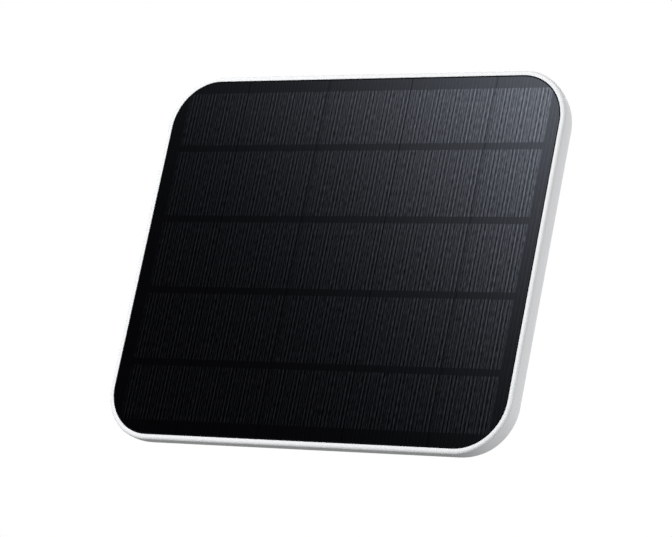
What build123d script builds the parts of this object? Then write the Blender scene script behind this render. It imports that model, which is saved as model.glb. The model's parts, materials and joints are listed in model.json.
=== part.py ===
"""Outdoor solar panel: a moulded tray with a bonded glass laminate and a rear housing.

Every piece is drawn lying on its back in the panel's own frame: X across the panel, Y up the
panel, Z out of the glass, with Z = 0 at the mouth of the mounting insert. place() then stands
the piece up, leaning back by lean_angle, with the insert's mouth as the origin.
"""
from build123d import *
import math
import os

# ---- pose and overall form (millimetres and degrees) -------------------------------------
lean_angle = 20.0            # the panel leans back from upright

opening_width = 173.0        # inside of the rim, across
opening_height = 145.25      # inside of the rim, up the panel
opening_radius = 19.0        # inside corner of the rim
rim_width = 2.0              # rim round the glass, out to its widest
casing_depth = 10.5          # tray, back face to rim
rim_front_fillet = 1.1
rim_inner_fillet = 0.15
side_radius = 18.0           # the sides draw in towards the back on this arc
tray_back_fillet = 1.5
blank_margin = 0.5           # blank under the side arc, cut off at the tray's back
tray_floor = 1.8
ledge_width = 6.0            # shelf that the laminate is bonded to

# ---- laminate ----------------------------------------------------------------------------
glass_recess = 0.15          # glass below the rim
glass_thickness = 2.0
glass_edge_bevel = 0.15
seal_gap = 0.35              # sealant line between glass and rim
front_sheet_thickness = 0.45
cell_thickness = 0.2
rear_sheet_thickness = 0.35
backsheet_thickness = 0.3
sheet_inset = 0.1            # the soft sheets end just inside the glass edge
tape_thickness = 0.5
tape_width = 4.0
tape_setback = 0.4           # tape inside the sheets' edge
snug = 0.02                  # clearance of a bonded or moulded-in edge
overrun = 1.0                # cuts run this far past the faces they open
least_flat = 0.01            # shortest straight left between two round corners
tolerance = 0.001            # for telling edges apart

# ---- cells -------------------------------------------------------------------------------
cell_rows = 5
cell_columns = 5
field_margin = 5.0           # rim opening to the outermost cells
row_pitch = 29.3
row_gap = 2.8
column_pitch = 37.4
column_gap = 0.6
field_corner = 5.0
ribbon_width = 1.6
ribbon_thickness = 0.12
ribbon_end_reach = 1.9       # ribbons past the last row, into the margin
tab_width = 3.0
tab_spread = 7.0             # each junction tab, out from the centre line
tab_thickness = 0.2
tab_pad_length = 6.0
tab_slot_side_room = 0.3     # slot in the rear layers, beside the tab
tab_slot_face_room = 0.2     # and over its faces

# ---- rear housing ------------------------------------------------------------------------
housing_depth = 13.0         # insert mouth to the tray's back
housing_width = 96.0         # foot of the dome
housing_height = 74.0
housing_radius = 15.0
housing_taper = 4.0          # each side, from foot to crown
housing_wall = 2.0
housing_edge_fillet = 2.6
flange_reach = 3.2           # flange beyond the foot
flange_thickness = 1.6
gasket_width = 1.5
gasket_depth = 0.9
locating_rib_height = 1.3
locating_rib_width = 1.2
fit_clearance = 0.15

hub_radius = 17.0
hub_rise = 3.0               # hub face behind the crown
hub_draft = 1.3
hub_edge_fillet = 1.0
hub_rib_count = 6
hub_rib_width = 1.4
column_root = 0.5            # columns and posts start inside the crown

# ---- mounting insert, 1/4 inch - 20 thread ------------------------------------------------
insert_bore_radius = 2.6     # tapping bore
insert_outer_radius = 4.6
insert_length = 8.0
insert_knurls = 24
insert_knurl_depth = 0.25
insert_groove_width = 1.2
insert_plain_rim = 0.8       # left smooth at the mouth
insert_boss_wall = 2.6
insert_boss_end = 1.2

# ---- charging socket, flap and its alcove ------------------------------------------------
port_width = 12.0            # hole for the plug's body
port_height = 6.2
port_shift = 0.0             # port centre across the housing
alcove_side_room = 1.6       # beside the flap and its anchor
alcove_depth = 5.0           # from the housing foot's lower edge
alcove_floor = 1.0           # left between the alcove and the tray
alcove_wall = 3.0            # wall behind the alcove
socket_width = 8.94
socket_height = 3.16
socket_length = 7.3
socket_wall = 0.25
socket_back_wall = 0.8
tongue_width = 6.6
tongue_thickness = 0.7
tongue_setback = 0.9
tongue_length = 5.4
port_seal_thickness = 0.9
flap_width = 18.0
flap_height = 8.0
flap_thickness = 1.2
flap_clearance = 0.3         # round the plug and to the alcove
flap_seat_gap = 0.15
flap_lip_width = 1.6
flap_lip_rise = 0.7
flap_lip_root = 0.2          # lip sunk into the plate
flap_lip_corner = 0.75
flap_lip_inset = 1.92        # middle of the lip to the flap's end
flap_edge_bevel = 0.3
flap_plug_bevel = 0.4
neck_radius = 0.55
neck_width = 5.0
neck_gap = 0.45              # neck to anchor, bridged by bending silicone
anchor_length = 2.6
anchor_thickness = 1.0
anchor_corner = 0.6
anchor_stem_radius = 1.1
anchor_head_radius = 1.8
anchor_head_height = 0.9

# ---- housing screws ----------------------------------------------------------------------
screw_inset = 11.0           # from the foot of the dome, both ways
screw_shank_radius = 1.25
screw_head_radius = 2.4
screw_head_height = 1.5
screw_grip = 5.0             # thread inside the tray's boss
screw_pocket_radius = 2.9
screw_column_radius = 4.4
screw_web = 1.0
screw_end_room = 0.5         # hole past the screw's tip
plug_thickness = 1.0
plug_edge_bevel = 0.25
tray_boss_radius = 3.2
thread_clearance = 0.05
hex_key_size = 1.5
hex_key_depth = 0.9

# ---- control board -----------------------------------------------------------------------
board_side_room = 10.0       # board to the cavity's foot, each side
board_top_room = 10.3        # room for the leads above the board
board_thickness = 1.2
board_radius = 3.0
board_wall_gap = 0.3         # board edge to the wall behind the alcove
board_edge_room = 0.6        # header to the board's upper edge
board_hole_clearance = 1.5
board_post_inset = 4.5       # from the board's edges, both ways
board_post_radius = 2.6
board_screw_radius = 0.9
board_screw_head_radius = 1.9
board_screw_head_height = 1.1
board_screw_grip = 3.0
board_screw_clearance = 0.15
board_screw_end_room = 0.4
inductor_size = 7.0
inductor_height = 3.2
inductor_x = 18.0
inductor_rise = 19.7         # above the board's lower edge
chip_size = 4.0
chip_height = 0.9
chip_bevel = 0.2
chip_x = 14.0
chip_rise = 9.2
capacitor_radius = 2.2
capacitor_height = 3.0
capacitor_foot_height = 0.6
capacitor_bevel = 0.3
capacitor_x = (-21.0, -15.0)
capacitor_rise = 12.7
diode_length = 4.4
diode_width = 2.7
diode_height = 2.2
diode_bevel = 0.3
diode_x = 14.5
diode_drop = 7.0             # below the board's upper edge
header_width = 8.0
header_length = 6.0
header_height = 3.6
header_wall = 0.8
header_x = 0.0
plug_width = 5.8
plug_height = 1.9
plug_stand_out = 2.2         # plug seen outside the header
lead_radius = 0.65
lead_spacing = 2.2
lead_bend = 2.0
lead_seat_depth = 2.0        # lead inside its plug
lead_landing = 1.0           # lead's end, below the slot's middle
lead_slot_width = 26.0
lead_slot_height = 7.0
lead_slot_corner = 2.0

# ---- breather ----------------------------------------------------------------------------
vent_x = -27.0
vent_y = 0.0
vent_hole_radius = 0.6
vent_hole_ring = 1.7
vent_hole_count = 5
vent_membrane_radius = 3.6
vent_membrane_thickness = 0.3

# ---- tray ribs ---------------------------------------------------------------------------
tray_rib_width = 1.4
tray_rib_pitch = 27.0
tray_rib_drop = 0.15         # ribs stay below the ledge

# ---- levels that follow from the sizes above ---------------------------------------------
crown_level = hub_rise
wall_inner_level = crown_level + housing_wall
back_level = housing_depth
floor_level = back_level + tray_floor
rim_level = back_level + casing_depth
glass_top = rim_level - glass_recess
glass_bottom = glass_top - glass_thickness
cell_top = glass_bottom - front_sheet_thickness
cell_bottom = cell_top - cell_thickness
backsheet_top = cell_bottom - rear_sheet_thickness
backsheet_bottom = backsheet_top - backsheet_thickness
ledge_level = backsheet_bottom - tape_thickness

outer_width = opening_width + 2 * rim_width
outer_height = opening_height + 2 * rim_width
outer_radius = opening_radius + rim_width
well_width = opening_width - 2 * ledge_width
well_height = opening_height - 2 * ledge_width
well_radius = opening_radius - ledge_width
field_width = opening_width - 2 * field_margin
field_height = opening_height - 2 * field_margin

alcove_wall_y = -housing_height / 2 + alcove_depth
port_level = (crown_level + back_level - alcove_floor) / 2
alcove_inner_y = alcove_wall_y + alcove_wall
socket_mouth_y = alcove_inner_y - port_seal_thickness
flap_plug_depth = socket_mouth_y - alcove_wall_y + flap_seat_gap - flap_clearance
board_level = port_level + socket_height / 2
board_front = board_level + board_thickness
board_low_y = alcove_inner_y + board_wall_gap
board_top_y = housing_height / 2 - housing_wall - board_top_room
board_center_y = (board_low_y + board_top_y) / 2
board_width = housing_width - 2 * (housing_wall + housing_taper + board_side_room)
board_height = board_top_y - board_low_y
screw_x = housing_width / 2 - screw_inset
screw_y = housing_height / 2 - screw_inset
screw_seat = crown_level + plug_thickness + screw_head_height
boss_level = screw_seat + screw_web
neck_x = port_shift - flap_width / 2 - neck_radius
neck_y = alcove_wall_y - flap_seat_gap - flap_thickness / 2
boss_radius = insert_outer_radius + insert_boss_wall
header_y = board_top_y - header_length / 2 - board_edge_room
lead_slot_y = board_top_y + plug_stand_out + lead_slot_height / 2


def rounded(width, height, radius):
    """A rectangle with round corners, centred."""
    return RectangleRounded(width, height, min(radius, width / 2 - least_flat, height / 2 - least_flat))


def slab(outline, low, high):
    """A flat outline made solid between two levels."""
    return extrude(Pos(0, 0, low) * outline, high - low)


def disc(x, y, radius, low, high):
    """An upright cylinder at x, y between two levels."""
    return Pos(x, y, low) * extrude(Circle(radius), high - low)


def block(x, y, width, height, low, high):
    """A box centred on x, y between two levels."""
    return slab(Pos(x, y) * Rectangle(width, height), low, high)


def corners(x, y):
    """The four points that mirror x, y in both centre lines."""
    return [(x, y), (-x, y), (-x, -y), (x, -y)]


def across_wall(outline, start, depth, level, shift):
    """An outline drawn across and through the lower wall, made solid along +Y from start."""
    plane = Plane(origin=(shift, start, level), x_dir=(1, 0, 0), z_dir=(0, 1, 0))
    return extrude(plane * outline, depth)


def place(part):
    """Stand the part up in its leaning pose."""
    return Rot(90 - lean_angle, 0, 0) * part


def span_edges(count, pitch, gap, extent):
    """Low and high edge of each strip: inner strips at the pitch, outer ones to the extent."""
    spans = []
    for index in range(count):
        middle = (index - (count - 1) / 2) * pitch
        low = -extent / 2 if index == 0 else middle - (pitch - gap) / 2
        high = extent / 2 if index == count - 1 else middle + (pitch - gap) / 2
        spans.append((low, high))
    return spans


# ---- tray --------------------------------------------------------------------------------
def rib_places(extent):
    """Where the ribs stand across an extent, with one on the centre line."""
    steps = int(extent / 2 / tray_rib_pitch)
    return [step * tray_rib_pitch for step in range(-steps, steps + 1)]


def tray_ribs():
    """Stiffening lattice on the tray's floor, under the laminate."""
    top = ledge_level - tray_rib_drop
    lattice = Part()
    for x in rib_places(well_width):
        lattice += block(x, 0, tray_rib_width, well_height, floor_level, top)
    for y in rib_places(well_height):
        lattice += block(0, y, well_width, tray_rib_width, floor_level, top)
    slot = block(0, lead_slot_y, lead_slot_width, lead_slot_height, floor_level, top)
    return (lattice & slab(rounded(well_width, well_height, well_radius), floor_level, top)) - slot


def casing_tray():
    """One moulding: thin rim, bowed sides, ledge, ribbed floor and the bosses of the housing."""
    outline = rounded(outer_width, outer_height, outer_radius)
    tray = slab(outline, rim_level - rim_front_fillet - side_radius - blank_margin, rim_level)
    tray = fillet(tray.edges().group_by(Axis.Z)[0], side_radius)
    tray = fillet(tray.edges().group_by(Axis.Z)[-1], rim_front_fillet)
    tray &= slab(outline, back_level, rim_level)
    tray = fillet(tray.edges().group_by(Axis.Z)[0], tray_back_fillet)
    tray -= slab(rounded(opening_width, opening_height, opening_radius), ledge_level, rim_level)
    tray = fillet(tray.edges().filter_by(on_rim_inside), rim_inner_fillet)
    tray -= slab(rounded(well_width, well_height, well_radius), floor_level, ledge_level)
    tray += tray_ribs()
    tray += locating_rib()
    for x, y in corners(screw_x, screw_y):
        tray += disc(x, y, tray_boss_radius, boss_level, back_level)
        tray -= disc(x, y, screw_shank_radius + thread_clearance, boss_level,
                     boss_level + screw_grip + screw_end_room)
    slot = Pos(0, lead_slot_y) * rounded(lead_slot_width, lead_slot_height, lead_slot_corner)
    return tray - slab(slot, back_level, floor_level)


def locating_rib():
    """Low rib on the tray's back that centres the housing from inside its wall."""
    tip = back_level - locating_rib_height
    inset = housing_wall + fit_clearance
    outside = section_outline(inset, tip)
    inside = section_outline(inset + locating_rib_width, tip)
    return slab(outside - inside, tip, back_level) - alcove(alcove_wall + fit_clearance, back_level)


def on_rim_inside(edge):
    """True for an edge at the rim's level whose middle lies on the opening's outline."""
    point = edge @ 0.5
    along_x = max(abs(point.X) - (opening_width / 2 - opening_radius), 0)
    along_y = max(abs(point.Y) - (opening_height / 2 - opening_radius), 0)
    on_outline = abs(math.hypot(along_x, along_y) - opening_radius) < tolerance
    return on_outline and edge.bounding_box().min.Z > rim_level - tolerance


# ---- laminate ----------------------------------------------------------------------------
def laminate_outline(inset):
    """The glass outline, drawn in by inset."""
    cut = 2 * (seal_gap + inset)
    return rounded(opening_width - cut, opening_height - cut, opening_radius - cut / 2)


def cover_glass():
    """Tempered front glass with a fine bevel round its front edge."""
    glass = slab(laminate_outline(0), glass_bottom, glass_top)
    return chamfer(glass.edges().group_by(Axis.Z)[-1], glass_edge_bevel)


def perimeter_seal():
    """Dark sealant bead round the laminate's edge, from the ledge's tape up to the glass face."""
    outside = rounded(opening_width - 2 * snug, opening_height - 2 * snug, opening_radius - snug)
    return slab(outside - laminate_outline(-snug), backsheet_bottom, glass_top)


def front_encapsulant():
    """Clear sheet between the glass and the cells."""
    return slab(laminate_outline(sheet_inset), cell_top, glass_bottom)


def row_outline(row, grow):
    """The outlines of one row of cells, each grown by grow."""
    low_y, high_y = span_edges(cell_rows, row_pitch, row_gap, field_height)[row]
    outline = Sketch()
    for low_x, high_x in span_edges(cell_columns, column_pitch, column_gap, field_width):
        middle = Pos((low_x + high_x) / 2, (low_y + high_y) / 2)
        outline += middle * Rectangle(high_x - low_x + 2 * grow, high_y - low_y + 2 * grow)
    return outline & rounded(field_width + 2 * grow, field_height + 2 * grow, field_corner)


def cell_row(row):
    """One row of separate cells; the outer rows have the field's round corners."""
    return slab(row_outline(row, 0), cell_bottom, cell_top)


def cell_ribbons():
    """Copper ribbons: one up each column behind its cells, cross ribbons in the margins."""
    top = cell_bottom
    low = top - ribbon_thickness
    reach = field_height + 2 * ribbon_end_reach
    ribbons = Part()
    middles = [(a + b) / 2 for a, b in span_edges(cell_columns, column_pitch, column_gap, field_width)]
    for middle in middles:
        ribbons += block(middle, 0, ribbon_width, reach, low, top)
    for index in range(cell_columns - 1):
        side = 1 if index % 2 else -1
        span = middles[index + 1] - middles[index] + ribbon_width
        y = side * (reach / 2 - ribbon_width / 2)
        ribbons += block((middles[index] + middles[index + 1]) / 2, y, span, ribbon_width, low, top)
    return ribbons


def junction_tabs():
    """The two end tabs: down through the backsheet and flat against its back."""
    tabs = Part()
    for side in (-1, 1):
        x = side * tab_spread
        tabs += block(x, lead_slot_y, tab_width, tab_thickness,
                      backsheet_bottom - tab_thickness, cell_bottom - ribbon_thickness)
        tabs += block(x, lead_slot_y - tab_pad_length / 2 + tab_thickness / 2, tab_width,
                      tab_pad_length, backsheet_bottom - tab_thickness, backsheet_bottom)
    return tabs


def tab_slots(low, high):
    """Slots that let the tabs through the rear layers."""
    slots = Part()
    width = tab_width + 2 * tab_slot_side_room
    height = tab_thickness + 2 * tab_slot_face_room
    for side in (-1, 1):
        slots += block(side * tab_spread, lead_slot_y, width, height, low, high)
    return slots


def rear_encapsulant():
    """Clear sheet behind the cells, with the cells and ribbons pressed into it."""
    sheet = slab(laminate_outline(sheet_inset), backsheet_top, cell_top)
    for row in range(cell_rows):
        sheet -= slab(row_outline(row, snug), cell_bottom, cell_top)
    sheet -= cell_ribbons()
    return sheet - tab_slots(backsheet_top, cell_bottom)


def backsheet():
    """Black polymer sheet that closes the laminate's back."""
    sheet = slab(laminate_outline(sheet_inset), backsheet_bottom, backsheet_top)
    return sheet - tab_slots(backsheet_bottom, backsheet_top)


def bonding_tape():
    """Foam tape ring between the backsheet and the tray's ledge."""
    inset = sheet_inset + tape_setback
    hole = laminate_outline(inset + tape_width)
    return slab(laminate_outline(inset) - hole, ledge_level, backsheet_bottom)


# ---- rear housing ------------------------------------------------------------------------
def section_outline(inset, level):
    """The dome's outline at a level, drawn in by inset; it narrows towards the crown."""
    share = (back_level - level) / (back_level - crown_level)
    draw = 2 * (inset + housing_taper * share)
    return rounded(housing_width - draw, housing_height - draw, housing_radius - draw / 2)


def housing_section(inset, level):
    """The dome's outline, moved to its level."""
    return Pos(0, 0, level) * section_outline(inset, level)


def alcove(grow, top):
    """The notch in the lower side where the socket opens; grow adds the wall round it."""
    low_x = anchor_middle() - anchor_length / 2 - alcove_side_room - grow
    high_x = port_shift + flap_width / 2 + alcove_side_room + grow
    low_y = -housing_height / 2 - flange_reach - overrun
    high_y = alcove_wall_y + grow
    return block((low_x + high_x) / 2, (low_y + high_y) / 2, high_x - low_x, high_y - low_y,
                 -overrun, top)


def hub():
    """The drafted round hub that carries the mounting insert."""
    foot = Pos(0, 0, crown_level) * Circle(hub_radius)
    face = Circle(hub_radius - hub_draft)
    solid = loft([face, foot])
    return fillet(solid.edges().group_by(Axis.Z)[0], hub_edge_fillet)


def hub_core():
    """The hollow behind the hub's face, crossed by ribs that carry the insert's boss."""
    radius = hub_radius - hub_draft - housing_wall
    core = disc(0, 0, radius, housing_wall, wall_inner_level)
    for index in range(hub_rib_count):
        core -= Rot(0, 0, index * 360 / hub_rib_count) * block(
            radius / 2, 0, radius, hub_rib_width, housing_wall, wall_inner_level)
    return core


def housing_shell():
    """Dome, hub and flange, hollowed to an even wall, with the socket's alcove."""
    dome = loft([housing_section(0, crown_level), housing_section(0, back_level)])
    dome = fillet(dome.edges().group_by(Axis.Z)[0], housing_edge_fillet)
    flange = rounded(housing_width + 2 * flange_reach, housing_height + 2 * flange_reach,
                     housing_radius + flange_reach)
    shell = dome + slab(flange, back_level - flange_thickness, back_level)
    shell -= alcove(0, back_level - alcove_floor)
    cavity = loft([housing_section(housing_wall, wall_inner_level),
                   housing_section(housing_wall, back_level)])
    cavity -= alcove(alcove_wall, back_level)
    shell -= cavity
    shell += hub()
    shell -= hub_core()
    return shell


def gasket_ring(clearance):
    """The gasket's ring in the flange, over the foot of the dome."""
    middle = flange_reach - gasket_width
    outside = 2 * (middle + gasket_width / 2 - clearance)
    inside = 2 * (middle - gasket_width / 2 + clearance)
    return (rounded(housing_width + outside, housing_height + outside, housing_radius + outside / 2)
            - rounded(housing_width + inside, housing_height + inside, housing_radius + inside / 2))


def rear_housing():
    """The moulded housing: shell, insert boss, screw columns, board posts, port and vent."""
    housing = housing_shell()
    boss_end = insert_length + insert_boss_end
    housing += disc(0, 0, boss_radius, housing_wall, boss_end)
    for x, y in corners(screw_x, screw_y):
        housing += disc(x, y, screw_column_radius, wall_inner_level - column_root, boss_level)
        housing -= disc(x, y, screw_pocket_radius, crown_level - overrun, screw_seat)
        housing -= disc(x, y, screw_shank_radius + fit_clearance, screw_seat, boss_level)
    for x, y in board_posts():
        housing += disc(x, y, board_post_radius, wall_inner_level - column_root, board_level)
        housing -= disc(x, y, board_screw_radius + thread_clearance,
                        board_level - board_screw_grip - board_screw_end_room, board_level)
    housing -= disc(0, 0, insert_outer_radius + snug, 0, insert_length)
    cut_depth = alcove_wall + 2 * overrun
    port = SlotOverall(port_width, port_height)
    housing -= across_wall(port, alcove_wall_y - overrun, cut_depth, port_level, port_shift)
    stem_hole = Circle(anchor_stem_radius + snug)
    housing -= across_wall(stem_hole, alcove_wall_y - overrun, cut_depth, port_level, anchor_middle())
    housing -= slab(gasket_ring(0), back_level - gasket_depth, back_level)
    for index in range(vent_hole_count):
        turn = math.radians(index * 360 / vent_hole_count)
        housing -= disc(vent_x + vent_hole_ring * math.cos(turn), vent_y + vent_hole_ring * math.sin(turn),
                        vent_hole_radius, 0, wall_inner_level + overrun)
    return housing


def housing_gasket():
    """Rubber ring in the flange's groove."""
    return slab(gasket_ring(snug), back_level - gasket_depth, back_level)


def vent_membrane():
    """Breather disc on the inside of the crown, over the vent holes."""
    return disc(vent_x, vent_y, vent_membrane_radius, wall_inner_level,
                wall_inner_level + vent_membrane_thickness)


def thread_insert():
    """Brass insert with a knurled outside, split by a groove."""
    insert = disc(0, 0, insert_outer_radius, 0, insert_length)
    tooth = Rot(0, 0, 45) * Rectangle(2 * insert_knurl_depth, 2 * insert_knurl_depth)
    cut = Sketch()
    for index in range(insert_knurls):
        cut += Rot(0, 0, index * 360 / insert_knurls) * Pos(insert_outer_radius, 0) * tooth
    insert -= slab(cut, insert_plain_rim, insert_length)
    ring = Circle(insert_outer_radius + overrun) - Circle(insert_outer_radius - 2 * insert_knurl_depth)
    middle = insert_length / 2
    insert -= slab(ring, middle - insert_groove_width / 2, middle + insert_groove_width / 2)
    return insert - disc(0, 0, insert_bore_radius, 0, insert_length)


def housing_screws():
    """Four screws through the housing into the tray's bosses."""
    screws = Part()
    for x, y in corners(screw_x, screw_y):
        screw = disc(x, y, screw_head_radius, screw_seat - screw_head_height, screw_seat)
        screw -= slab(Pos(x, y) * RegularPolygon(hex_key_size, 6), screw_seat - screw_head_height,
                      screw_seat - screw_head_height + hex_key_depth)
        screw += disc(x, y, screw_shank_radius, screw_seat, boss_level + screw_grip)
        screws += screw
    return screws


def screw_plugs():
    """Soft plugs that close the screw pockets."""
    plugs = Part()
    for x, y in corners(screw_x, screw_y):
        plug = disc(x, y, screw_pocket_radius - 2 * snug, crown_level, crown_level + plug_thickness)
        plugs += chamfer(plug.edges().group_by(Axis.Z)[0], plug_edge_bevel)
    return plugs


# ---- socket and flap ---------------------------------------------------------------------
def usb_socket():
    """Drawn steel shell of the charging socket, open towards the port."""
    outside = SlotOverall(socket_width, socket_height)
    inside = SlotOverall(socket_width - 2 * socket_wall, socket_height - 2 * socket_wall)
    shell = across_wall(outside, socket_mouth_y, socket_length, port_level, port_shift)
    depth = socket_length - socket_back_wall
    return shell - across_wall(inside, socket_mouth_y, depth, port_level, port_shift)


def socket_tongue():
    """Contact tongue inside the shell."""
    depth = socket_length - socket_back_wall
    length = min(tongue_length, depth - tongue_setback)
    start = socket_mouth_y + depth - length
    return across_wall(Rectangle(tongue_width, tongue_thickness), start, length, port_level, port_shift)


def port_seal():
    """Sealing ring round the socket's mouth, in the inner end of the port."""
    ring = SlotOverall(port_width - 2 * snug, port_height - 2 * snug)
    ring -= SlotOverall(socket_width + 2 * snug, socket_height + 2 * snug)
    return across_wall(ring, socket_mouth_y, port_seal_thickness, port_level, port_shift)


def anchor_middle():
    """Centre of the flap's anchor across the housing."""
    return neck_x - neck_radius - neck_gap - anchor_length / 2


def port_flap():
    """Silicone flap: plate, plug, finger lip and the neck it swings on."""
    seat_y = alcove_wall_y - flap_seat_gap
    plate = across_wall(SlotOverall(flap_width, flap_height), seat_y - flap_thickness,
                        flap_thickness, port_level, port_shift)
    plate = chamfer(plate.edges().group_by(Axis.Y)[0], flap_edge_bevel)
    plug_outline = SlotOverall(port_width - 2 * flap_clearance, port_height - 2 * flap_clearance)
    plug = across_wall(plug_outline, seat_y, flap_plug_depth, port_level, port_shift)
    plug = chamfer(plug.edges().group_by(Axis.Y)[-1], flap_plug_bevel)
    lip_outline = rounded(flap_lip_width, flap_height / 2, flap_lip_corner)
    lip = across_wall(lip_outline, seat_y - flap_thickness - flap_lip_rise,
                      flap_lip_rise + flap_lip_root, port_level,
                      port_shift + flap_width / 2 - flap_lip_inset)
    low = port_level - neck_width / 2
    high = port_level + neck_width / 2
    neck = disc(neck_x, neck_y, neck_radius, low, high)
    web_end = port_shift - flap_width / 2 + flap_height / 4
    neck += block((neck_x + web_end) / 2, neck_y, web_end - neck_x, 2 * neck_radius, low, high)
    return plate + plug + lip + neck


def flap_anchor():
    """The flap's root: a pad with a stem through the wall and a head behind it."""
    middle = anchor_middle()
    pad_outline = rounded(anchor_length, neck_width, anchor_corner)
    pad = across_wall(pad_outline, alcove_wall_y - anchor_thickness, anchor_thickness, port_level,
                      middle)
    stem = across_wall(Circle(anchor_stem_radius), alcove_wall_y, alcove_wall, port_level, middle)
    head = across_wall(Circle(anchor_head_radius), alcove_inner_y, anchor_head_height, port_level,
                       middle)
    return pad + stem + head


# ---- control board -----------------------------------------------------------------------
def board_posts():
    """Where the board is screwed down."""
    points = corners(board_width / 2 - board_post_inset, board_height / 2 - board_post_inset)
    return [(x, y + board_center_y) for x, y in points]


def control_board():
    """Board with a hole for the insert's boss and a notch over the flap's anchor."""
    outline = Pos(0, board_center_y) * rounded(board_width, board_height, board_radius)
    outline -= Circle(boss_radius + board_hole_clearance)
    notch_reach = 2 * (anchor_head_height + 2 * board_wall_gap)
    outline -= Pos(anchor_middle(), board_low_y) * Rectangle(
        2 * (anchor_head_radius + board_wall_gap), notch_reach)
    for x, y in board_posts():
        outline -= Pos(x, y) * Circle(board_screw_radius + board_screw_clearance)
    return slab(outline, board_level, board_front)


def board_screws():
    """Small screws that hold the board to its posts."""
    screws = Part()
    for x, y in board_posts():
        screw = disc(x, y, board_screw_head_radius, board_front, board_front + board_screw_head_height)
        screws += screw + disc(x, y, board_screw_radius, board_level - board_screw_grip, board_front)
    return screws


def power_inductor():
    """Shielded inductor: a square body with chamfered corners."""
    body = block(inductor_x, board_low_y + inductor_rise, inductor_size, inductor_size,
                 board_level - inductor_height, board_level)
    return chamfer(body.edges().filter_by(Axis.Z), inductor_size / 6)


def controller_chip():
    """Step-down controller."""
    body = block(chip_x, board_low_y + chip_rise, chip_size, chip_size, board_level - chip_height,
                 board_level)
    return chamfer(body.edges().group_by(Axis.Z)[0], chip_bevel)


def filter_capacitors():
    """Two can capacitors on square feet."""
    cans = Part()
    y = board_low_y + capacitor_rise
    for x in capacitor_x:
        foot = block(x, y, 2 * capacitor_radius, 2 * capacitor_radius,
                     board_level - capacitor_foot_height, board_level)
        can = disc(x, y, capacitor_radius, board_level - capacitor_height, board_level)
        cans += foot + chamfer(can.edges().group_by(Axis.Z)[0], capacitor_bevel)
    return cans


def blocking_diode():
    """Moulded diode that stops the battery feeding the cells at night."""
    body = block(diode_x, board_top_y - diode_drop, diode_length, diode_width,
                 board_level - diode_height, board_level)
    return chamfer(body.edges().group_by(Axis.Z)[0], diode_bevel)


def lead_header():
    """Board socket of the cell leads: a shroud open towards the top of the panel."""
    low = board_level - header_height
    body = block(header_x, header_y, header_width, header_length, low, board_level)
    end = header_y + header_length / 2
    space = block(header_x, end - (header_length - header_wall) / 2, header_width - 2 * header_wall,
                  header_length - header_wall, low + header_wall, board_level - header_wall)
    return body - space


def lead_plug():
    """Plug on the leads, seated in the header."""
    start = header_y - header_length / 2 + header_wall
    end = header_y + header_length / 2 + plug_stand_out
    middle = board_level - header_height / 2
    body = block(header_x, (start + end) / 2, plug_width, end - start, middle - plug_height / 2,
                 middle + plug_height / 2)
    for side in (-1, 1):
        x = header_x + side * lead_spacing / 2
        hole = Plane(origin=(x, end, middle), x_dir=(1, 0, 0), z_dir=(0, -1, 0))
        body -= extrude(hole * Circle(lead_radius + snug), lead_seat_depth)
    return body


def lead(side):
    """One lead: out of the plug, up past the board's edge and the slot, onto its tab."""
    start_y = header_y + header_length / 2 + plug_stand_out
    middle = board_level - header_height / 2
    x = header_x + side * lead_spacing / 2
    rise_y = lead_slot_y
    land = backsheet_bottom - tab_thickness - lead_radius
    route = [
        (x, start_y - lead_seat_depth, middle),
        (x, rise_y, middle),
        (x, rise_y, land),
        (side * tab_spread, rise_y - lead_landing, land),
    ]
    path = FilletPolyline(*route, radius=[lead_bend, lead_bend])
    profile = Plane(origin=path @ 0, z_dir=path % 0) * Circle(lead_radius)
    return sweep(profile, path=path)


parts = {
    "casing_tray": casing_tray(),
    "cover_glass": cover_glass(),
    "perimeter_seal": perimeter_seal(),
    "front_encapsulant": front_encapsulant(),
    "cell_ribbons": cell_ribbons(),
    "junction_tabs": junction_tabs(),
    "rear_encapsulant": rear_encapsulant(),
    "backsheet": backsheet(),
    "bonding_tape": bonding_tape(),
    "rear_housing": rear_housing(),
    "housing_gasket": housing_gasket(),
    "vent_membrane": vent_membrane(),
    "thread_insert": thread_insert(),
    "housing_screws": housing_screws(),
    "screw_plugs": screw_plugs(),
    "usb_socket": usb_socket(),
    "socket_tongue": socket_tongue(),
    "port_seal": port_seal(),
    "port_flap": port_flap(),
    "flap_anchor": flap_anchor(),
    "control_board": control_board(),
    "board_screws": board_screws(),
    "power_inductor": power_inductor(),
    "controller_chip": controller_chip(),
    "filter_capacitors": filter_capacitors(),
    "blocking_diode": blocking_diode(),
    "lead_header": lead_header(),
    "lead_plug": lead_plug(),
    "positive_lead": lead(1),
    "negative_lead": lead(-1),
}
for row in range(cell_rows):
    parts[f"cell_row_{row + 1}"] = cell_row(row)

os.makedirs("parts", exist_ok=True)
for name, part in parts.items():
    export_step(place(part), f"parts/{name}.step")
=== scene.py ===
import json
import math

import bmesh
import bpy
from mathutils import Matrix, Vector


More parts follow.
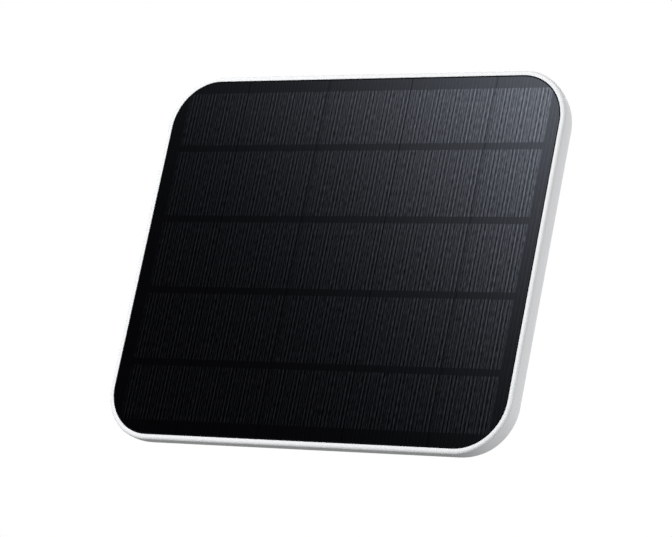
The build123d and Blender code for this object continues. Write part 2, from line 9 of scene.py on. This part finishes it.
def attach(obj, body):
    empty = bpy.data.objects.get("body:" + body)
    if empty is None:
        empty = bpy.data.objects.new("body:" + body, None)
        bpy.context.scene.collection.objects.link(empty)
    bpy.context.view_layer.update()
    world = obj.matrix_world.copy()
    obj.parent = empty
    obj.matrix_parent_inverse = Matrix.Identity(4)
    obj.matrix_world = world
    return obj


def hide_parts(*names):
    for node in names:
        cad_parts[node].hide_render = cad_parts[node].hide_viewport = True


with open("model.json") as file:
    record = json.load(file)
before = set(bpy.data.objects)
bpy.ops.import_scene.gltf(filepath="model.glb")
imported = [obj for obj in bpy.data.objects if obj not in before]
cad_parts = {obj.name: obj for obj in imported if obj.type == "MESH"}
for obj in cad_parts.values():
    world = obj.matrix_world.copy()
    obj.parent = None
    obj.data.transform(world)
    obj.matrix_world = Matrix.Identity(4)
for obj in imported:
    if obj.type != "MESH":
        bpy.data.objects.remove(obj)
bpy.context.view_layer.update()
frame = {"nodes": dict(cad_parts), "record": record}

MM = 0.001

# The panel leans back: its own frame has X across, Y up the panel and Z out of the glass.
LEAN = math.radians(20.0)
STAND = Matrix.Rotation(math.pi / 2 - LEAN, 4, "X")


def panel_box(node):
    """Lowest and highest corners of a CAD node in the panel's own frame."""
    lay = STAND.inverted()
    points = [lay @ vertex.co for vertex in bpy.data.objects[node].data.vertices]
    low = Vector([min(point[axis] for point in points) for axis in range(3)])
    high = Vector([max(point[axis] for point in points) for axis in range(3)])
    return low, high


def mount_size(mount, name):
    """One size of a mount in the record, in metres."""
    sizes = [each["dims"][name] for each in frame["record"]["mounts"] if each["name"] == mount]
    return sizes[0] * MM


RIM = panel_box("casing_tray")[1].z


# ---- shader maths ------------------------------------------------------------------------
class Wire:
    """One socket of a node tree, usable in sums."""

    def __init__(self, tree, socket):
        self.tree = tree
        self.socket = socket

    def math(self, operation, *others):
        """A Math node on this value and any others."""
        node = self.tree.nodes.new("ShaderNodeMath")
        node.operation = operation
        for slot, value in zip(node.inputs, (self,) + others):
            feed(self.tree, slot, value)
        return Wire(self.tree, node.outputs[0])

    def __add__(self, other):
        return self.math("ADD", other)

    __radd__ = __add__

    def __mul__(self, other):
        return self.math("MULTIPLY", other)

    __rmul__ = __mul__

    def __sub__(self, other):
        return self.math("SUBTRACT", other)

    def __rsub__(self, other):
        return self * -1 + other

    def __truediv__(self, other):
        return self.math("DIVIDE", other)

    def __rtruediv__(self, other):
        return self.math("POWER", -1) * other


def feed(tree, slot, value):
    """Set a socket to a value, or link it."""
    if isinstance(value, Wire):
        tree.links.new(value.socket, slot)
    else:
        slot.default_value = value


# The Mix node has a set of sockets for each type of data; these are the ones for colours.
MIX_FACTOR, MIX_FIRST, MIX_SECOND, MIX_RESULT = 0, 6, 7, 2


class Finish:
    """A node tree being built: a material's or the world's."""

    def __init__(self, name, world=False):
        if world:
            self.block = bpy.data.worlds.new(name)
            out = "ShaderNodeOutputWorld"
        else:
            self.block = bpy.data.materials.new(name)
            out = "ShaderNodeOutputMaterial"
        self.block.use_nodes = True
        self.tree = self.block.node_tree
        self.tree.nodes.clear()
        self.out = self.tree.nodes.new(out)

    def node(self, kind, settings=None, sockets=None, output=0):
        """Add a node: its settings first, then the values or links of its sockets."""
        node = self.tree.nodes.new("ShaderNode" + kind)
        for name, value in (settings or {}).items():
            setattr(node, name, value)
        for name, value in (sockets or {}).items():
            feed(self.tree, node.inputs[name], value)
        return Wire(self.tree, node.outputs[output])

    def place(self):
        """Position on the object, in metres."""
        return self.node("TexCoord", output="Object")

    def panel_place(self):
        """Position in the panel's own frame, in metres."""
        return self.node("Mapping", {"vector_type": "POINT"},
                         {"Vector": self.place(), "Rotation": (LEAN - math.pi / 2, 0, 0)})

    def split(self, vector):
        """X, Y and Z of a vector."""
        node = self.tree.nodes.new("ShaderNodeSeparateXYZ")
        feed(self.tree, node.inputs[0], vector)
        return [Wire(self.tree, output) for output in node.outputs]

    def noise(self, vector, scale, detail):
        """Smooth noise from 0 to 1; scale is in features to the metre."""
        return self.node("TexNoise", None, {"Vector": vector, "Scale": scale, "Detail": detail})

    def blend(self, factor, first, second):
        """Mix two colours."""
        node = self.tree.nodes.new("ShaderNodeMix")
        node.data_type = "RGBA"
        feed(self.tree, node.inputs[MIX_FACTOR], factor)
        feed(self.tree, node.inputs[MIX_FIRST], first)
        feed(self.tree, node.inputs[MIX_SECOND], second)
        return Wire(self.tree, node.outputs[MIX_RESULT])

    def ramp(self, value, low, high, low_to=0.0, high_to=1.0):
        """Smooth step of a value from low to high."""
        return self.node("MapRange", {"interpolation_type": "SMOOTHSTEP", "clamp": True},
                         {"Value": value, "From Min": low, "From Max": high,
                          "To Min": low_to, "To Max": high_to})

    def inside(self, value, half, soft):
        """1 where a value lies within plus or minus half, with a soft edge."""
        return self.ramp(value.math("ABSOLUTE"), half - soft, half + soft, 1.0, 0.0)

    def bump(self, height, distance):
        """Surface relief; distance is how deep a height of 1 is, in metres."""
        return self.node("Bump", None, {"Height": height, "Distance": distance})

    def surface(self, **sockets):
        """Principled surface; spaces in socket names are written as underscores."""
        shader = self.node("BsdfPrincipled", None,
                           {name.replace("_", " "): value for name, value in sockets.items()})
        return self.finished(shader)

    def finished(self, shader):
        """Link the last shader to the output; returns the material or world."""
        self.tree.links.new(shader.socket, self.out.inputs["Surface"])
        return self.block


def grey(level):
    """A colour with equal red, green and blue."""
    return (level, level, level, 1.0)


def toned(colour, factor, lift=0.0):
    """A colour made darker or paler."""
    return tuple(min(1.0, channel * factor + lift) for channel in colour[:3]) + (1.0,)


def feathered(value, middle, sharpness):
    """0 to 1 as a value passes the middle, or 1 to 0 where the sharpness is negative."""
    return 1 / (1 + ((value - middle) * -sharpness).math("EXPONENT"))


# ---- camera ------------------------------------------------------------------------------
SENSOR = 36.0                     # millimetres wide
LENS = 174.54                     # millimetres
AZIMUTH = math.radians(32.073)    # round to the object's right
ELEVATION = math.radians(0.377)
ROLL = math.radians(0.599)
DISTANCE = 1222.0 * MM            # from the point aimed at
AIM_X = 3.01 * MM                 # that point, level with the rim
AIM_Y = -4.69 * MM
NEAREST_SEEN = 0.05
FURTHEST_SEEN = 50.0


def set_camera():
    """A long lens from the front right, nearly level, aimed close to the glass's middle."""
    data = bpy.data.cameras.new("camera")
    data.sensor_width = SENSOR
    data.lens = LENS
    data.clip_start = NEAREST_SEEN
    data.clip_end = FURTHEST_SEEN
    camera = bpy.data.objects.new("camera", data)
    bpy.context.scene.collection.objects.link(camera)
    turn = (Matrix.Rotation(AZIMUTH, 4, "Z") @ Matrix.Rotation(math.pi / 2 - ELEVATION, 4, "X")
            @ Matrix.Rotation(ROLL, 4, "Z"))
    aim = STAND @ Vector((AIM_X, AIM_Y, RIM))
    camera.matrix_world = Matrix.Translation(aim) @ turn @ Matrix.Translation((0, 0, DISTANCE))
    bpy.context.scene.camera = camera


# ---- studio ------------------------------------------------------------------------------
# Directions are in the panel's own frame. Edges and fades are cosines of the angle to them.
OUT_OF_GLASS = (0, 0, 1)
STRIP_ACROSS = (0.676, 0.723, 0.141)    # across the strip of light
STRIP_TOWARDS = (-0.46, 0.36, 0.81)     # out to the strip
STRIP_START = 0.0417
STRIP_START_SHARPNESS = 43.1
STRIP_END = 0.24
STRIP_END_SHARPNESS = -22.0
STRIP_FADE = (0.55, 0.9)
STRIP_STRENGTH = 4.75
ROOM_FADE = (-0.35, 0.25)               # from behind the panel to in front of it
ROOM_BEHIND = 0.85
ROOM_IN_FRONT = 0.0375
GROUND_FADE = (-0.7, 0.0)               # from about 45 degrees below level up to level
GROUND_SHARE = 0.25
AMBIENT = 0.28                          # light from all round, for all but reflections
REFLECTED_TINT = (0.985, 1.0, 1.05, 1.0)
WHITE = grey(1.0)


def set_world():
    """White for the eye; a dim front with one feathered strip of light for reflections."""
    world = Finish("studio", world=True)
    glossy = world.node("LightPath", output="Is Glossy Ray")
    seen = world.node("LightPath", output="Is Camera Ray") + world.node(
        "LightPath", output="Is Transmission Ray")
    seen = world.ramp(seen, 0.0, 1.0)
    way = world.node("TexCoord", output="Generated")
    upward = world.split(way)[2]

    def along(direction):
        """Cosine of the angle between the way looked in and a direction."""
        stood = STAND.to_3x3() @ Vector(direction).normalized()
        return world.node("VectorMath", {"operation": "DOT_PRODUCT"}, {0: way, 1: tuple(stood)},
                          output="Value")

    across = along(STRIP_ACROSS)
    strip = (feathered(across, STRIP_START, STRIP_START_SHARPNESS)
             * feathered(across, STRIP_END, STRIP_END_SHARPNESS)
             * world.ramp(along(STRIP_TOWARDS), *STRIP_FADE) * STRIP_STRENGTH)
    room = (world.ramp(along(OUT_OF_GLASS), *ROOM_FADE, ROOM_BEHIND, ROOM_IN_FRONT)
            * world.ramp(upward, *GROUND_FADE, GROUND_SHARE, 1.0))
    light = glossy * (strip + room) + (1 - glossy) * AMBIENT
    tint = world.blend(seen, world.blend(glossy, WHITE, REFLECTED_TINT), WHITE)
    background = world.node("Background", None,
                            {"Color": tint, "Strength": seen + (1 - seen) * light})
    bpy.context.scene.world = world.finished(background)


def lamp(name, place, watts, size):
    """A square soft light aimed at the object."""
    data = bpy.data.lights.new(name, "AREA")
    data.energy = watts
    data.size = size
    light = bpy.data.objects.new(name, data)
    light.location = place
    light.rotation_euler = (-Vector(place)).to_track_quat("-Z", "Y").to_euler()
    light.visible_camera = False
    light.visible_glossy = False
    bpy.context.scene.collection.objects.link(light)


def set_lamps():
    """Three lamps for the front and the right side, and one for the back."""
    lamp("key", place=(-0.88, -1.48, 1.02), watts=37.0, size=0.9)
    lamp("front_soft", place=(0.0, -1.88, 0.68), watts=3.4, size=0.7)
    lamp("right_fill", place=(1.90, 0.45, -0.35), watts=18.4, size=0.8)
    lamp("back_key", place=(-0.60, 1.70, 0.84), watts=29.5, size=1.0)


FLOOR_LEVEL = -0.45
FLOOR_RADIUS = 1.2
FLOOR_SIDES = 64
FLOOR_FADE = (0.75, 1.15)         # fades out between these distances from the middle
FLOOR_SEEN = grey(0.82)           # as the eye sees it
FLOOR_GLOW = 0.2                  # lifts it towards white
FLOOR_LIGHTING = grey(0.20)       # as it lights the object, so that little comes up from it


def floor_paper():
    """Pale paper that is solid from above and clear from below."""
    finish = Finish("floor_paper")
    x, y = finish.split(finish.place())[:2]
    fade = finish.ramp((x * x + y * y).math("SQRT"), *FLOOR_FADE, 1.0, 0.0)
    above = 1 - finish.node("NewGeometry", output="Backfacing")
    paper = finish.node("BsdfDiffuse", None, {"Color": FLOOR_SEEN})
    glow = finish.node("Emission", None, {"Color": WHITE, "Strength": FLOOR_GLOW})
    lifted = finish.node("AddShader", None, {0: paper, 1: glow})
    lighting = finish.node("BsdfDiffuse", None, {"Color": FLOOR_LIGHTING})
    seen = finish.node("LightPath", output="Is Camera Ray")
    solid = finish.node("MixShader", None, {0: seen, 1: lighting, 2: lifted})
    clear = finish.node("BsdfTransparent")
    return finish.finished(finish.node("MixShader", None, {0: fade * above, 1: clear, 2: solid}))


def set_floor():
    """Pale round floor well below the panel, fading out at its edge."""
    mesh = bpy.data.meshes.new("floor")
    shape = bmesh.new()
    bmesh.ops.create_circle(shape, cap_ends=True, segments=FLOOR_SIDES, radius=FLOOR_RADIUS,
                            matrix=Matrix.Translation((0, 0, FLOOR_LEVEL)))
    shape.to_mesh(mesh)
    shape.free()
    mesh.materials.append(floor_paper())
    floor = bpy.data.objects.new("floor", mesh)
    bpy.context.scene.collection.objects.link(floor)


# ---- plain finishes ----------------------------------------------------------------------
GRAIN_DEPTH = 0.006 * MM          # of spark-eroded plastic and of worn metal
DUST_DEPTH = 0.01 * MM            # of a dusty rubber skin
GLOSS_DRIFT = 0.08                # moulded plastic's roughness swings by this in all
GRAIN_ROUGHNESS = 0.1             # rubber and metal are up to this much rougher in places


def moulded(name, colour, roughness):
    """Moulded plastic: spark-eroded grain, faint drift of tone and gloss."""
    finish = Finish(name)
    place = finish.place()
    grain = finish.noise(place, scale=2600.0, detail=2.0)
    drift = finish.noise(place, scale=28.0, detail=3.0)
    return finish.surface(Base_Color=finish.blend(drift, toned(colour, factor=0.98), colour),
                          Roughness=(drift - 0.5) * GLOSS_DRIFT + roughness,
                          Normal=finish.bump(grain, GRAIN_DEPTH))


def soft_rubber(name, colour, roughness=0.62, shine=0.5):
    """Rubber or silicone: a dusty skin with a faint drift of tone."""
    finish = Finish(name)
    place = finish.place()
    dust = finish.noise(place, scale=900.0, detail=4.0)
    drift = finish.noise(place, scale=60.0, detail=2.0)
    pale = toned(colour, factor=1.06, lift=0.004)
    return finish.surface(Base_Color=finish.blend(drift, colour, pale),
                          Roughness=roughness + dust * GRAIN_ROUGHNESS,
                          Specular_IOR_Level=shine, Normal=finish.bump(dust, DUST_DEPTH))


def metal(name, colour, roughness):
    """Plain metal with a fine worn grain."""
    finish = Finish(name)
    grain = finish.noise(finish.place(), scale=600.0, detail=3.0)
    return finish.surface(Base_Color=finish.blend(grain, toned(colour, factor=0.88), colour),
                          Metallic=1.0, Roughness=roughness + grain * GRAIN_ROUGHNESS,
                          Normal=finish.bump(grain, GRAIN_DEPTH))


def silicon_cell():
    """Dark blue-black silicon."""
    finish = Finish("silicon_cell")
    cloud = finish.noise(finish.place(), scale=90.0, detail=3.0)
    tone = finish.blend(cloud, (0.008, 0.009, 0.016, 1.0), (0.014, 0.016, 0.026, 1.0))
    return finish.surface(Base_Color=tone, Roughness=0.25)


def clear_layer(name):
    """A soft clear sheet of the laminate, with a faint wisp of haze."""
    finish = Finish(name)
    wisp = finish.noise(finish.place(), scale=40.0, detail=2.0)
    return finish.surface(Base_Color=grey(0.02), Roughness=wisp * 0.03 + 0.05, Alpha=0.2)


# ---- laminate, as the polished glass shows it --------------------------------------------
# Rows come from the cells themselves; the field that they show in is a little smaller.
row_low, row_high = panel_box("cell_row_3")
next_row_low = panel_box("cell_row_4")[0]
ROW_PITCH = next_row_low.y - row_low.y
ROW_GAP = next_row_low.y - row_high.y
FIELD_WIDTH = 162.2 * MM
FIELD_HEIGHT = 134.2 * MM
FIELD_SHIFT = 0.3 * MM            # its middle, right of the panel's
FIELD_RISE = 0.35 * MM            # and above it
FIELD_SOFT = 0.12 * MM            # half the width of its soft edges
COLUMN_PITCH = 36.9 * MM
COLUMN_SHIFT = 1.6 * MM
SEAM_HALF = 0.28 * MM             # half the dark seam between two cells of a row
SEAM_SOFT = 0.14 * MM
SEAM_SHARE = 0.55                 # what the seam leaves of the tone
OPENING_WIDTH = 173.0 * MM

# Contact lines: rulings, each with its turn at the opening's left edge, and flecks.
BROAD_RULING = {"pitch": 1.4472 * MM, "turn": -0.82, "strength": 0.50}
BEAT_RULING = {"pitch": 1.8005 * MM, "turn": 0.55, "strength": 0.35}
FINE_RULING = {"pitch": 0.93 * MM, "turn": 0.0, "strength": 0.38}
BROAD_STRAY = 0.2 * MM            # how far the first two rulings stray
BEAT_STRAY = 0.6 * MM
FLECK_STRETCH = (2.2, 0.3, 1.0)   # narrow across the panel and long up it
FLECK_STRENGTH = 3.0
LINES_IN_MIDDLE = 0.94            # strength at the panel's middle
LINES_PAINTED_FADE_RIGHT = 2.2            # what they lose to the right and upwards, to the metre: painted light, the lines washing out where the reflection is brightest
LINES_PAINTED_FADE_UP = 3.1
LINES_PEAK = 0.3                  # bright lines stand out more than dark ones do
LINES_OFFSET = 0.04               # brings their mean back

# Tones that the glass mirrors.
BORDER_TONE = 0.0366
BORDER_LINES = 0.008
CELL_TONE = 0.0236                # what the cells add to the border's
CELL_LINES = 0.056
PAINTED_REFLECTION_RISE = 0.03                  # paler up the panel, to the metre: a painted brightening of the reflection
CAST = {"Red": 0.935, "Green": 1.0, "Blue": 1.127}


def off_centre(value, pitch):
    """How far a value is from the nearest whole pitch."""
    return ((value / pitch + 0.5).math("FRACT") - 0.5) * pitch


def ruling(x, pitch, turn, strength):
    """Fine upright lines at one pitch."""
    return ((x + OPENING_WIDTH / 2) * (2 * math.pi / pitch) + turn).math("COSINE") * strength


def contact_lines(finish, place, x, y):
    """Three rulings, two of them straying, and flecks, all painted weaker to the upper right,
    where the reflected light is brightest.
    """
    drift = finish.noise(place, scale=110.0, detail=1.0) - 0.5
    stray = finish.noise(place, scale=210.0, detail=1.0) - 0.5
    stretched = finish.node("Mapping", None, {"Vector": place, "Scale": FLECK_STRETCH})
    flecks = finish.noise(stretched, scale=1500.0, detail=1.0) - 0.5
    rulings = (ruling(x + drift * BROAD_STRAY, **BROAD_RULING)
               + ruling(x + stray * BEAT_STRAY, **BEAT_RULING) + ruling(x, **FINE_RULING))
    # Painted light: the lines are made weaker to the upper right, where the reflection is
    # brightest.
    fade = LINES_IN_MIDDLE - x * LINES_PAINTED_FADE_RIGHT - y * LINES_PAINTED_FADE_UP
    lines = (rulings + flecks * FLECK_STRENGTH) * fade
    return lines + lines * lines * LINES_PEAK - LINES_OFFSET


def laminate_face():
    """Black border, cell rows and contact lines in the polish of the glass."""
    finish = Finish("front_glass")
    place = finish.panel_place()
    x, y = finish.split(place)[:2]
    rise = y - FIELD_RISE
    row = finish.inside(off_centre(rise, ROW_PITCH), (ROW_PITCH - ROW_GAP) / 2, FIELD_SOFT)
    field = (finish.inside(rise, FIELD_HEIGHT / 2, FIELD_SOFT)
             * finish.inside(x - FIELD_SHIFT, FIELD_WIDTH / 2, FIELD_SOFT))
    cell = finish.inside(off_centre(x - COLUMN_SHIFT, COLUMN_PITCH),
                         COLUMN_PITCH / 2 - SEAM_HALF, SEAM_SOFT)
    lines = contact_lines(finish, place, x, y)
    # The rise up the panel is a painted brightening of the reflection.
    tone = (y * PAINTED_REFLECTION_RISE + BORDER_TONE + lines * BORDER_LINES
            + row * field * (lines * CELL_LINES + CELL_TONE))
    tone = tone * (cell * (1 - SEAM_SHARE) + SEAM_SHARE)
    shade = finish.node("CombineColor", None, {name: tone * cast for name, cast in CAST.items()})
    return finish.surface(Base_Color=shade, Metallic=1.0, Roughness=0.0)


# ---- charging socket's tongue ------------------------------------------------------------
CONTACT_PITCH = 0.5 * MM
CONTACT_HALF = 0.25               # half a strip's width, as a share of the pitch
CONTACT_SOFT = 0.03
CONTACT_SPAN = 3.0 * MM           # strips this far out from the tongue's middle
CONTACT_SPAN_SOFT = 0.02 * MM
CONTACT_START = 0.5 * MM          # the gold starts this far from the tongue's front edge
CONTACT_FULL = 0.7 * MM
TONGUE_ROUGHNESS = 0.5
GOLD_POLISH = 0.2                 # the gold strips are this much smoother


def contact_tongue():
    """Black tongue with a row of gold contact strips."""
    finish = Finish("contact_tongue")
    low, high = panel_box("socket_tongue")
    place = finish.panel_place()
    x, y = finish.split(place)[:2]
    aside = x - (low.x + high.x) / 2
    share = (aside / CONTACT_PITCH).math("FRACT")
    strips = (finish.inside(share - 0.5, CONTACT_HALF, CONTACT_SOFT)
              * finish.inside(aside, CONTACT_SPAN, CONTACT_SPAN_SOFT)
              * finish.ramp(y, low.y + CONTACT_START, low.y + CONTACT_FULL))
    scuff = finish.noise(place, scale=1500.0, detail=2.0)
    tone = finish.blend(strips, (0.02, 0.02, 0.022, 1.0), (0.83, 0.62, 0.26, 1.0))
    return finish.surface(Base_Color=tone, Metallic=strips,
                          Roughness=(TONGUE_ROUGHNESS - strips * GOLD_POLISH
                                     + scuff * GRAIN_ROUGHNESS))


# ---- threaded insert ---------------------------------------------------------------------
insert_low, insert_high = panel_box("thread_insert")
INSERT_RADIUS = (insert_high.x - insert_low.x) / 2
INSERT_LENGTH = insert_high.z - insert_low.z
BORE_RADIUS = mount_size("camera_mount", "r_mm")
ROOT_RADIUS = 3.17 * MM
INCH = 25.4 * MM
THREAD_PITCH = INCH / 20
LEAD_IN = 0.55 * MM               # the thread starts this far inside the mouth
LEAD_IN_FLARE = 0.08 * MM         # the mouth's bevel widens by these beyond the thread's root
LEAD_IN_RIM = 0.2 * MM
EDGE_BEVEL = 0.12 * MM
PLAIN_RIM = 0.8 * MM              # left smooth before the knurl starts
GROOVE_WIDTH = 1.2 * MM
GROOVE_DEPTH = 0.5 * MM
KNURL_DEPTH = 0.35 * MM
KNURLS = 24
TURN_STEPS = 2 * KNURLS           # each knurl has a crest and a valley
MERGE = 0.002 * MM
# One pitch of the thread, in shares of the pitch: crest, flank, root and flank.
THREAD_FORM = ((0.0, BORE_RADIUS), (0.25, BORE_RADIUS), (0.5625, ROOT_RADIUS),
               (0.6875, ROOT_RADIUS))


def rim_loop(shape, level):
    """Open edges that lie at a level."""
    return [edge for edge in shape.edges if edge.is_boundary
            and all(abs(vertex.co.z - level) < MERGE / 2 for vertex in edge.verts)]


def helical_bore(shape):
    """Thread form run up a helix, trimmed flat at both ends; returns its two end loops."""
    outline = []
    level = -2 * THREAD_PITCH
    while level < INSERT_LENGTH + THREAD_PITCH:
        for share, radius in THREAD_FORM:
            outline.append(shape.verts.new((radius, 0, level + share * THREAD_PITCH)))
        level += THREAD_PITCH
    outline.append(shape.verts.new((BORE_RADIUS, 0, level)))
    rails = [shape.edges.new(pair) for pair in zip(outline, outline[1:])]
    bmesh.ops.spin(shape, geom=outline + rails, axis=(0, 0, 1), cent=(0, 0, 0),
                   dvec=(0, 0, THREAD_PITCH / TURN_STEPS), angle=2 * math.pi, steps=TURN_STEPS,
                   use_merge=False, use_normal_flip=False, use_duplicate=False)
    bmesh.ops.remove_doubles(shape, verts=shape.verts[:], dist=MERGE)
    for cut, way in ((LEAD_IN, -1), (INSERT_LENGTH, 1)):
        bmesh.ops.bisect_plane(shape, geom=shape.verts[:] + shape.edges[:] + shape.faces[:],
                               dist=MERGE / 10, plane_co=(0, 0, cut), plane_no=(0, 0, way),
                               clear_outer=True)
    loose = [edge for edge in shape.edges if not edge.link_faces]
    bmesh.ops.delete(shape, geom=loose, context="EDGES")
    return rim_loop(shape, LEAD_IN), rim_loop(shape, INSERT_LENGTH)


def pulled_out(shape, loop, radius, level, knurl):
    """Extrude a loop of edges out to a radius and level; returns the new loop."""
    made = bmesh.ops.extrude_edge_only(shape, edges=loop)["geom"]
    for vertex in [part for part in made if isinstance(part, bmesh.types.BMVert)]:
        angle = math.atan2(vertex.co.y, vertex.co.x)
        reach = radius - knurl * (1 - math.cos(KNURLS * angle)) / 2
        vertex.co = (reach * math.cos(angle), reach * math.sin(angle), level)
    return [edge for edge in made if isinstance(edge, bmesh.types.BMEdge)]


def threaded_insert():
    """Brass insert: cut thread with a lead-in, knurled bands and a groove round the outside."""
    shape = bmesh.new()
    loop, end = helical_bore(shape)
    groove_start = (INSERT_LENGTH - GROOVE_WIDTH) / 2
    groove_end = (INSERT_LENGTH + GROOVE_WIDTH) / 2
    outside = (
        (ROOT_RADIUS + LEAD_IN_FLARE, EDGE_BEVEL, 0.0),
        (ROOT_RADIUS + LEAD_IN_RIM, 0.0, 0.0),
        (INSERT_RADIUS - EDGE_BEVEL, 0.0, 0.0),
        (INSERT_RADIUS, EDGE_BEVEL, 0.0),
        (INSERT_RADIUS, PLAIN_RIM, 0.0),
        (INSERT_RADIUS, PLAIN_RIM, KNURL_DEPTH),
        (INSERT_RADIUS, groove_start, KNURL_DEPTH),
        (INSERT_RADIUS - GROOVE_DEPTH, groove_start, 0.0),
        (INSERT_RADIUS - GROOVE_DEPTH, groove_end, 0.0),
        (INSERT_RADIUS, groove_end, KNURL_DEPTH),
        (INSERT_RADIUS, INSERT_LENGTH, KNURL_DEPTH))
    for radius, level, knurl in outside:
        loop = pulled_out(shape, loop, radius, level, knurl)
    bmesh.ops.bridge_loops(shape, edges=loop + end)
    bmesh.ops.remove_doubles(shape, verts=shape.verts[:], dist=MERGE / 2)
    bmesh.ops.recalc_face_normals(shape, faces=shape.faces[:])
    middle = (insert_low + insert_high) / 2
    bmesh.ops.translate(shape, verts=shape.verts[:], vec=(middle.x, middle.y, insert_low.z))
    bmesh.ops.transform(shape, matrix=STAND, verts=shape.verts[:])
    mesh = bpy.data.meshes.new("threaded_insert")
    shape.to_mesh(mesh)
    shape.free()
    mesh.materials.append(metal("brass", (0.80, 0.58, 0.27, 1.0), roughness=0.25))
    piece = bpy.data.objects.new("threaded_insert", mesh)
    bpy.context.scene.collection.objects.link(piece)
    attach(piece, "panel")
    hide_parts("thread_insert")


# ---- dressing the CAD pieces -------------------------------------------------------------
def wear(material, *nodes):
    """Give CAD nodes their finish."""
    for node in nodes:
        mesh = bpy.data.objects[node].data
        mesh.materials.clear()
        mesh.materials.append(material)


def dress_panel():
    """The tray, the housing and the layers of the laminate."""
    wear(moulded("white_shell", (0.795, 0.805, 0.815, 1.0), roughness=0.42),
         "casing_tray", "rear_housing")
    wear(laminate_face(), "cover_glass")
    wear(soft_rubber("black_sealant", (0.004, 0.004, 0.0045, 1.0), roughness=0.75, shine=0.15),
         "perimeter_seal")
    wear(clear_layer("clear_sheet"), "front_encapsulant")
    wear(clear_layer("rear_clear_sheet"), "rear_encapsulant")
    cells = [node for node in frame["nodes"] if node.startswith("cell_row_")]
    wear(silicon_cell(), *cells)
    wear(moulded("black_sheet", (0.012, 0.012, 0.014, 1.0), roughness=0.6),
         "cell_ribbons", "backsheet")
    wear(metal("tinned_copper", (0.72, 0.55, 0.42, 1.0), roughness=0.3), "junction_tabs")
    wear(soft_rubber("foam_tape", (0.03, 0.03, 0.03, 1.0), roughness=0.8), "bonding_tape")


def dress_fittings():
    """Seals, plugs, flap, screws, vent and the charging socket."""
    wear(soft_rubber("grey_silicone", (0.55, 0.56, 0.565, 1.0)),
         "housing_gasket", "screw_plugs", "port_seal", "port_flap", "flap_anchor")
    wear(soft_rubber("membrane", (0.75, 0.75, 0.74, 1.0), roughness=0.85), "vent_membrane")
    wear(metal("steel", (0.62, 0.62, 0.62, 1.0), roughness=0.28),
         "housing_screws", "usb_socket", "board_screws")
    wear(contact_tongue(), "socket_tongue")


def dress_electronics():
    """The board, what is on it and the leads to the laminate."""
    wear(moulded("board_green", (0.015, 0.10, 0.045, 1.0), roughness=0.32), "control_board")
    wear(moulded("dark_part", (0.022, 0.022, 0.024, 1.0), roughness=0.45),
         "controller_chip", "blocking_diode")
    wear(soft_rubber("ferrite", (0.07, 0.07, 0.075, 1.0), roughness=0.7), "power_inductor")
    wear(metal("aluminium", (0.75, 0.75, 0.77, 1.0), roughness=0.3), "filter_capacitors")
    wear(moulded("cream_part", (0.74, 0.71, 0.62, 1.0), roughness=0.5),
         "lead_header", "lead_plug")
    wear(soft_rubber("red_wire", (0.45, 0.015, 0.015, 1.0), roughness=0.4), "positive_lead")
    wear(soft_rubber("black_wire", (0.015, 0.015, 0.015, 1.0), roughness=0.4), "negative_lead")


set_camera()
set_world()
set_lamps()
set_floor()
dress_panel()
dress_fittings()
dress_electronics()
threaded_insert()

bpy.context.scene.view_settings.view_transform = "Standard"
